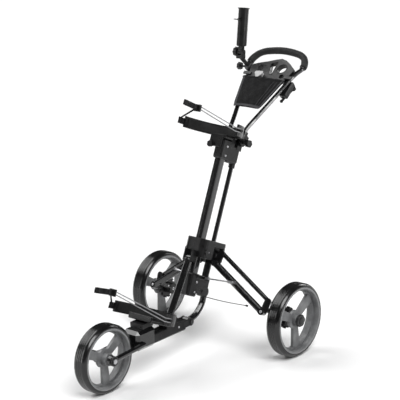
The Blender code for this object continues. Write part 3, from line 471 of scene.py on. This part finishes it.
def grip():
    """Foam sleeve, pressed in a little where hands hold it, with a rolled lip at each end."""
    def section(t):
        from_end = min(t, 1.0 - t)
        lip = 0.0007 * hump(from_end, 0.012, 0.006)
        groove = 0.0006 * hump(from_end, 0.040, 0.006)
        held = 0.0007 * (hump(t, 0.30, 0.09) + hump(t, 0.70, 0.09))
        return circle_section(GRIP_RADIUS - groove - held + lip, 28)

    sleeve = sweep("grip_sleeve", grip_route(), section, HANDLE_NORMAL, FOAM, "handle", ["grip"])
    for side, tag in SIDES:
        profile = [(0.0086, -0.006), (0.0108, -0.006), (0.0114, -0.004), (0.0114, 0.0), (0.0086, 0.0)]
        at = handle(side * COLLAR_REACH, 0.3552, RAIL_PLANE)
        lathe("grip_collar_" + tag, profile, at, HANDLE_ALONG, 24, PLASTIC, "handle")


def pouch_edge(y):
    """Left and right edge of the pouch at a place along the handle."""
    left = -0.074 - (y - 0.156) * 0.255
    right = 0.064 + (y - 0.150) * 0.27
    tuck = max(0.0, (0.150 - y) / 0.026)
    return left + 0.004 * tuck ** 2, right - 0.006 * tuck ** 2


POUCH_TOP = 0.2730
POUCH_BOTTOM = 0.1255
POUCH_LEVEL = 0.0525
POUCH_ROWS = 26
POUCH_COLUMNS = 28
POUCH_EDGE = 0.0012                   # half the thickness at the edges
POUCH_CROWN = 0.0066                  # how much further each face stands out in the middle
LINING_INSET = 0.06                   # share by which the lining lies inside the shell
LINING_STOP = 3                       # rows by which the lining stops short of the bottom


def pouch_point(u, v, face):
    """Point on the pouch: u across and v down, both 0 to 1. face is 1 for the front, -1 for the back."""
    y = POUCH_TOP + (POUCH_BOTTOM - POUCH_TOP) * v
    left, right = pouch_edge(y)
    x = left + (right - left) * u
    crown = (1.0 - abs(2 * u - 1) ** 3.0) * (1.0 - v ** 6)
    middle = math.sin(math.pi * u)
    ripple = 0.0011 * math.sin(17.0 * u + 9.0 * v) * middle + 0.0007 * math.sin(31.0 * u - 14.0 * v)
    sag = 0.0020 * middle * (1.0 - v)
    depth = POUCH_EDGE + POUCH_CROWN * crown - (sag if face > 0 else 0.0) + ripple * crown
    return handle(x, y + 0.004 * middle * v ** 3, POUCH_LEVEL + face * depth)


def pouch_trim(name, places, width, material, lift):
    """Narrow tape or a row of stitching along the front of the pouch. places are (u, v) pairs."""
    section = strap_section(width, 0.0018)
    route = curve_through([pouch_point(u, v, 1) + HANDLE_NORMAL * lift for u, v in places], 3)
    sweep(name, route, lambda t: section, HANDLE_NORMAL, material, "handle")


def pouch():
    """Fabric bag hung between the rails, open at the top, with bound edges and two rows of stitching."""
    rings = []
    for row in range(POUCH_ROWS + 1):
        v = row / POUCH_ROWS
        front = [pouch_point(k / POUCH_COLUMNS, v, 1) for k in range(POUCH_COLUMNS + 1)]
        back = [pouch_point(k / POUCH_COLUMNS, v, -1) for k in reversed(range(POUCH_COLUMNS + 1))]
        rings.append(front + back)
    sides = len(rings[0])
    lining = [[point.lerp(sum(ring, Vector()) / sides, LINING_INSET) for point in ring]
              for ring in rings[:-LINING_STOP]]
    rings = rings[::-1] + lining
    verts = [vert for ring in rings for vert in ring]
    piece("pouch_bag", verts, bridge(rings, sides), NET, "handle", ["net_pouch"], 1)

    steps = [i / 12 for i in range(13)]
    tape_lift, seam_lift = 0.0006, 0.0002
    pouch_trim("pouch_binding_left", [(0.035, v) for v in steps], 0.0090, BINDING, tape_lift)
    pouch_trim("pouch_binding_right", [(0.965, v) for v in steps], 0.0050, BINDING, tape_lift)
    pouch_trim("pouch_binding_bottom", [(u, 0.955) for u in steps], 0.0100, BINDING, tape_lift)
    pouch_trim("pouch_hem_top", [(u, 0.030) for u in steps], 0.0070, WEBBING, tape_lift)
    for index, u in enumerate((0.80, 0.88)):
        pouch_trim("pouch_seam_%d" % index, [(u, v) for v in steps[1:-1]], 0.0014, BINDING, seam_lift)


def bevel_edges(obj, width, segments):
    bevel = obj.modifiers.new("edge", "BEVEL")
    bevel.width = width
    bevel.segments = segments


RIM_LEVEL = 0.0462                    # height of the raised rims, in the handle's frame


def clip_plate(name, outline, low, high):
    """Flat piece of the grey clip, between two heights in the handle's frame."""
    rings = [[handle(x, y, level) for x, y in outline] for level in (low, high)]
    verts = [vert for ring in rings for vert in ring]
    plate = piece(name, verts, bridge(rings, len(outline)), GREY, "handle")
    bevel_edges(plate, 0.0009, 3)


def console_bead(name, path, radius, closed=True):
    """Thin round bead on the console."""
    sweep(name, path, lambda t: circle_section(radius, 8), HANDLE_NORMAL, PLASTIC, "handle",
          closed=closed)


def console_trim():
    """Raised rims round the tray's wells and windows, the grey clip and a rolled front edge."""
    wells = (("ball", 0.0200, 0.0460, 0.3320), ("pen", 0.0080, 0.063, 0.2960))
    for name, radius, x, y in wells:
        reach = radius + 0.0012
        ring = [handle(x + a, y + b, RIM_LEVEL) for a, b in circle_section(reach, 36)]
        console_bead("console_rim_" + name, ring, 0.0011)
    windows = ([(-0.066, 0.3270), (-0.050, 0.3020), (-0.034, 0.3420), (-0.058, 0.3400)],
               [(-0.016, 0.3520), (0.000, 0.3000), (0.014, 0.3000), (0.012, 0.3620)])
    for index, corners in enumerate(windows):
        ring = []
        for (x0, y0), (x1, y1) in zip(corners, corners[1:] + corners[:1]):
            ring += [handle(x0 + (x1 - x0) * i / 8, y0 + (y1 - y0) * i / 8, RIM_LEVEL) for i in range(8)]
        console_bead("console_window_%d" % index, ring, 0.0010)
    face = [(-0.052, 0.2880), (-0.048, 0.2960), (-0.018, 0.2980), (-0.012, 0.2900), (-0.026, 0.2690),
            (-0.038, 0.2680)]
    clip_plate("clip_face", face, 0.0612, 0.0640)
    stem = [(-0.040, 0.2840), (-0.040, 0.2920), (-0.024, 0.2920), (-0.024, 0.2840)]
    clip_plate("clip_stem", stem, 0.0518, 0.0614)
    lip = curve_through([handle(x, 0.2762, 0.0464) for x in (-0.082, -0.045, 0.0, 0.045, 0.082)], 4)
    console_bead("console_lip", lip, 0.0016, closed=False)


# ---------------------------------------------------------------- tyres
SHOULDER_DROP = 0.0080
GROOVE = 0.0011                       # depth and half width of a groove
BEAD_DEPTH = 0.0142                   # from the tread down to the rim


def tyres():
    """Foam tyres with rounded shoulders and three grooves round the tread."""
    for name in ("front_tyre", "rear_tyre_R", "rear_tyre_L"):
        low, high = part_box(name)
        centre = (low + high) / 2
        radius, half = (high.z - low.z) / 2, (high.x - low.x) / 2
        shoulder = [(radius - SHOULDER_DROP * (i / 8) ** 2, half * (0.5 + 0.5 * i / 8)) for i in range(9)]
        tread = []
        for i in range(-15, 16):
            z = half * 0.5 * i / 16
            grooves = sum(hump(z, k * half * 0.28, GROOVE) for k in (-1, 0, 1))
            tread.append((radius - GROOVE * grooves, z))
        bead = radius - BEAD_DEPTH
        far_shoulder = [(r, -z) for r, z in reversed(shoulder)]
        profile = far_shoulder + tread + shoulder + [(bead, half), (bead, -half)]
        lathe(name + "_foam", profile, centre, X_AXIS, 120, tyre_rubber(name + "_rubber", centre, radius),
              name.replace("tyre", "wheel"), [name], True)


# ---------------------------------------------------------------- bag cradles
STRAP_REACH = 0.0101                  # how far outside a cradle's radius its strap lies
PAD_WIDTH = 0.030
STRAP_WIDTH = 0.0240
KEEPER_WIDTH = 0.0290
KEEPER_REACH = 0.0118                 # the same for the plastic keepers on the strap


def cradle_trim(prefix, place, body, radius, first, last, up_axis, pull_start, pull_end, buckle_at):
    """Ribbed rubber pad inside a cradle, a webbing strap on its far arm, and the pull tab."""
    def on_band(angle, reach, level=0.0):
        return place(reach * math.cos(math.radians(angle)), reach * math.sin(math.radians(angle)), level)

    steps = 44
    inner = [on_band(first + 6 + (last - first - 12) * i / steps, radius - 0.0010)
             for i in range(steps + 1)]

    def ribbed(t):
        rib = 0.0004 * math.sin(t * steps * math.pi)
        return strap_section(0.0022 + rib, PAD_WIDTH)

    sweep(prefix + "_pad", inner, ribbed, up_axis, RUBBER_PAD, body)
    outer = [on_band(buckle_at - 34 + 72 * i / 20, radius + STRAP_REACH) for i in range(21)]
    sweep(prefix + "_strap", outer, lambda t: on_edge(strap_section(STRAP_WIDTH, 0.0018)), up_axis,
          WEBBING, body)
    for offset in (-15, 15):
        loop = [on_band(buckle_at + offset + 5 * i / 4, radius + KEEPER_REACH) for i in range(5)]
        sweep("%s_keeper_%d" % (prefix, offset + 15), loop,
              lambda t: on_edge(strap_section(KEEPER_WIDTH, 0.0022)), up_axis, PLASTIC, body)
    direction = pull_end - pull_start
    upright = X_AXIS.cross(direction).normalized()
    route = [pull_start + direction * (i / 18) + X_AXIS * 0.0016 * math.sin(math.pi * i / 18)
             for i in range(19)]

    def tab(t):
        thick = 0.0026 + (0.0022 if t > 0.80 else 0.0) + (0.0006 if 0.74 < t < 0.80 else 0.0)
        return strap_section(0.0215 - 0.0015 * max(0.0, t - 0.9) * 10, thick)

    tab_node = prefix + "_pull_tab"
    sweep(prefix + "_pull_strap", route, tab, X_AXIS, WEBBING, body, [tab_node])
    for row, share in enumerate((0.10, 0.16, 0.76)):
        across = [pull_start + direction * share + upright * (0.0088 * (k / 8 - 0.5) * 2) + X_AXIS * 0.0030
                  for k in range(9)]
        sweep("%s_stitch_%d" % (prefix, row), across, lambda t: circle_section(0.0005, 6), X_AXIS, BINDING,
              body)


def in_upper_cradle(x, back, up):
    return mast(x, -0.111 + back, 0.745 + up)


def in_lower_cradle(x, back, up):
    return mast(x, -0.239 + back, 0.0165 + up)


def cradles():
    cradle_trim("upper", in_upper_cradle, "mast", 0.122, 5.0, 175.0, MAST_UP,
                mast(-0.0872, -0.098, 0.804), mast(-0.0872, -0.178, 0.808), 152.0)
    cradle_trim("lower", in_lower_cradle, "front_frame", 0.120, -2.0, 182.0, MAST_UP,
                mast(-0.0912, -0.316, 0.064), mast(-0.0912, -0.4076, 0.0603), 158.0)


# ---------------------------------------------------------------- fasteners and small trim
# Rivets placed from the mast: name, sideways, back, up, radius, body, node.
BLOCK_RIVETS = (
    ("block_rivet_", 0.0208, 0.012, 0.170, 0.0050, "mast", "frame_block"),
    ("block_rivet_low_", 0.0208, 0.012, 0.132, 0.0038, "mast", "frame_block"),
)
UPPER_RIVETS = (
    ("bracket_rivet_", 0.0198, 0.004, 0.690, 0.0045, "mast", "top_bracket"),
    ("bracket_rivet_low_", 0.0198, 0.004, 0.655, 0.0045, "mast", "top_bracket"),
    ("yoke_rivet_", 0.0476, 0.006, 0.286, 0.0045, "yoke", "yoke_housing"),
)
BEAM_RIVET_X, BEAM_RIVET_Y = 0.0210, -0.070
STRETCHER_AT = 0.107                  # how far out along the leg the stretcher's rivet is


def mast_rivets(rows, side, tag):
    for name, x, back, up, radius, body, node in rows:
        rivet(name + tag, mast(side * x, back, up), X_AXIS * side, radius, body)


def leg_rivets(tag):
    axis = joint_axis("leg_fold_" + tag)
    axis = axis if axis.y > 0 else -axis
    hub = joint_place("leg_fold_" + tag)
    end = joint_place("carrier_turn_" + tag)
    rivet("leg_rivet_" + tag, end - axis * 0.0126, -axis, 0.0055, "leg_" + tag)
    at = hub + (end - hub).normalized() * STRETCHER_AT - axis * 0.0181
    rivet("stretcher_rivet_" + tag, at, -axis, 0.0036, "stretcher_" + tag)


def hub_dome(side, tag):
    wheel = joint_place("rear_wheel_spin_" + tag)
    low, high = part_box("hub_cap_" + tag)
    at = Vector((high.x if side > 0 else low.x, wheel.y, wheel.z))
    profile = [(0.0150, -0.0004), (0.0150, 0.0012), (0.0135, 0.0022), (0.0080, 0.0026), (0.0008, 0.0027)]
    lathe("hub_dome_" + tag, profile, at, X_AXIS * side, 32, CAP, "rear_wheel_" + tag)


def fork_washer(side, tag):
    wheel = joint_place("front_wheel_spin")
    low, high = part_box("front_fork")
    at = Vector((high.x if side > 0 else low.x, wheel.y, wheel.z))
    profile = [(0.0160, -0.0004), (0.0160, 0.0008), (0.0140, 0.0016), (0.0112, 0.0016)]
    lathe("fork_washer_" + tag, profile, at, X_AXIS * side, 32, PLASTIC, "front_frame")


def fasteners():
    """Rivet heads, hub domes and fork washers on both sides."""
    for side, tag in SIDES:
        mast_rivets(BLOCK_RIVETS, side, tag)
        beam_at = joint_place("front_fold") + Vector((side * BEAM_RIVET_X, BEAM_RIVET_Y, 0.0))
        rivet("beam_rivet_" + tag, beam_at, X_AXIS * side, 0.0042, "front_frame")
        mast_rivets(UPPER_RIVETS, side, tag)
        leg_rivets(tag)
        hub_dome(side, tag)
    for side, tag in SIDES:
        fork_washer(side, tag)


def gussets():
    """Pale wedge plates beside the upper cradle's foot."""
    for side, tag in SIDES:
        x0, x1 = side * 0.0205, side * 0.0225
        outline = [(0.0225, 0.726), (0.0440, 0.726), (0.0240, 0.750)]
        verts = [mast(x, back, up) for x in (x0, x1) for back, up in outline]
        faces = [(0, 1, 2), (3, 5, 4), (0, 3, 4, 1), (1, 4, 5, 2), (2, 5, 3, 0)]
        wedge = piece("gusset_" + tag, verts, faces, GREY, "mast")
        bevel_edges(wedge, 0.0005, 2)


# ---------------------------------------------------------------- studio and camera
FLOOR_SIZE = 160.0
FLOOR_CELLS = 2
FLOOR_LEVEL = -0.0004                 # just under the tyres


def floor():
    mesh = bpy.data.meshes.new("studio_floor")
    marks = [-FLOOR_SIZE / 2 + i * FLOOR_SIZE / FLOOR_CELLS for i in range(FLOOR_CELLS + 1)]
    verts = [(x, y, FLOOR_LEVEL) for y in marks for x in marks]
    row = FLOOR_CELLS + 1
    faces = [(j * row + i, j * row + i + 1, (j + 1) * row + i + 1, (j + 1) * row + i)
             for j in range(FLOOR_CELLS) for i in range(FLOOR_CELLS)]
    mesh.from_pydata(verts, [], faces)
    obj = bpy.data.objects.new("studio_floor", mesh)
    bpy.context.scene.collection.objects.link(obj)
    nodes = Nodes("pale_floor")
    nodes.blend_colours(nodes.noise(3.0), *FLOOR_SHADES)
    nodes.roughness(0.9)
    mesh.materials.append(nodes.material)


def soft_sun(name, place, spread, power):
    """Wide sun, so its shadows are soft."""
    light = bpy.data.lights.new(name, "SUN")
    light.angle = math.radians(spread)
    light.energy = power
    obj = bpy.data.objects.new(name, light)
    obj.location = place
    obj.rotation_euler = Vector(place).to_track_quat("Z", "Y").to_euler()
    bpy.context.scene.collection.objects.link(obj)


STRIP_TARGET = Vector((0.0, 0.0, 0.6))
STRIP_POWER = 26.0


def strip(name, place, size):
    """Tall soft light that draws the bright lines along the tubes."""
    light = bpy.data.lights.new(name, "AREA")
    light.shape = "RECTANGLE"
    light.size, light.size_y = size
    light.energy = STRIP_POWER
    obj = bpy.data.objects.new(name, light)
    obj.location = place
    obj.rotation_euler = (STRIP_TARGET - Vector(place)).to_track_quat("-Z", "Y").to_euler()
    bpy.context.scene.collection.objects.link(obj)


WORLD_STRENGTH = 0.07


def studio():
    floor()
    world = bpy.data.worlds.new("studio")
    world.use_nodes = True
    background = world.node_tree.nodes["Background"]
    background.inputs["Color"].default_value = (1.0, 1.0, 1.0, 1.0)
    background.inputs["Strength"].default_value = WORLD_STRENGTH
    bpy.context.scene.world = world
    soft_sun("key", (2.2, -1.2, 3.4), 36.0, 2.6)
    soft_sun("fill", (-2.6, -0.4, 2.8), 46.0, 1.9)
    strip("strip_left", (-2.4, -3.4, 1.1), (0.22, 2.6))
    strip("strip_right", (3.8, 0.6, 1.2), (0.22, 2.6))
    strip("strip_back", (0.6, 3.6, 1.6), (0.40, 2.2))
    bpy.context.scene.view_settings.view_transform = "Standard"


# The camera as it was fitted to the photograph.
AZIMUTH = math.radians(40.41)
ELEVATION = math.radians(15.85)
ROLL = math.radians(-1.61)
LENS = 136.9
SENSOR = 36.0
EYE = Vector((3.525, -4.0745, 2.122))


def camera():
    data = bpy.data.cameras.new("camera")
    data.lens = LENS
    data.sensor_width = SENSOR
    obj = bpy.data.objects.new("camera", data)
    level = math.cos(ELEVATION)
    back = Vector((math.sin(AZIMUTH) * level, -math.cos(AZIMUTH) * level, math.sin(ELEVATION)))
    right = Vector((math.cos(AZIMUTH), math.sin(AZIMUTH), 0.0))
    up = back.cross(right)
    rolled_right = right * math.cos(ROLL) + up * math.sin(ROLL)
    rolled_up = up * math.cos(ROLL) - right * math.sin(ROLL)
    turn = Matrix((rolled_right, rolled_up, back)).transposed()
    obj.matrix_world = Matrix.Translation(EYE) @ turn.to_4x4()
    bpy.context.scene.collection.objects.link(obj)
    bpy.context.scene.camera = obj


paint_frame()
grip()
pouch()
console_trim()
tyres()
cradles()
fasteners()
gussets()
studio()
camera()
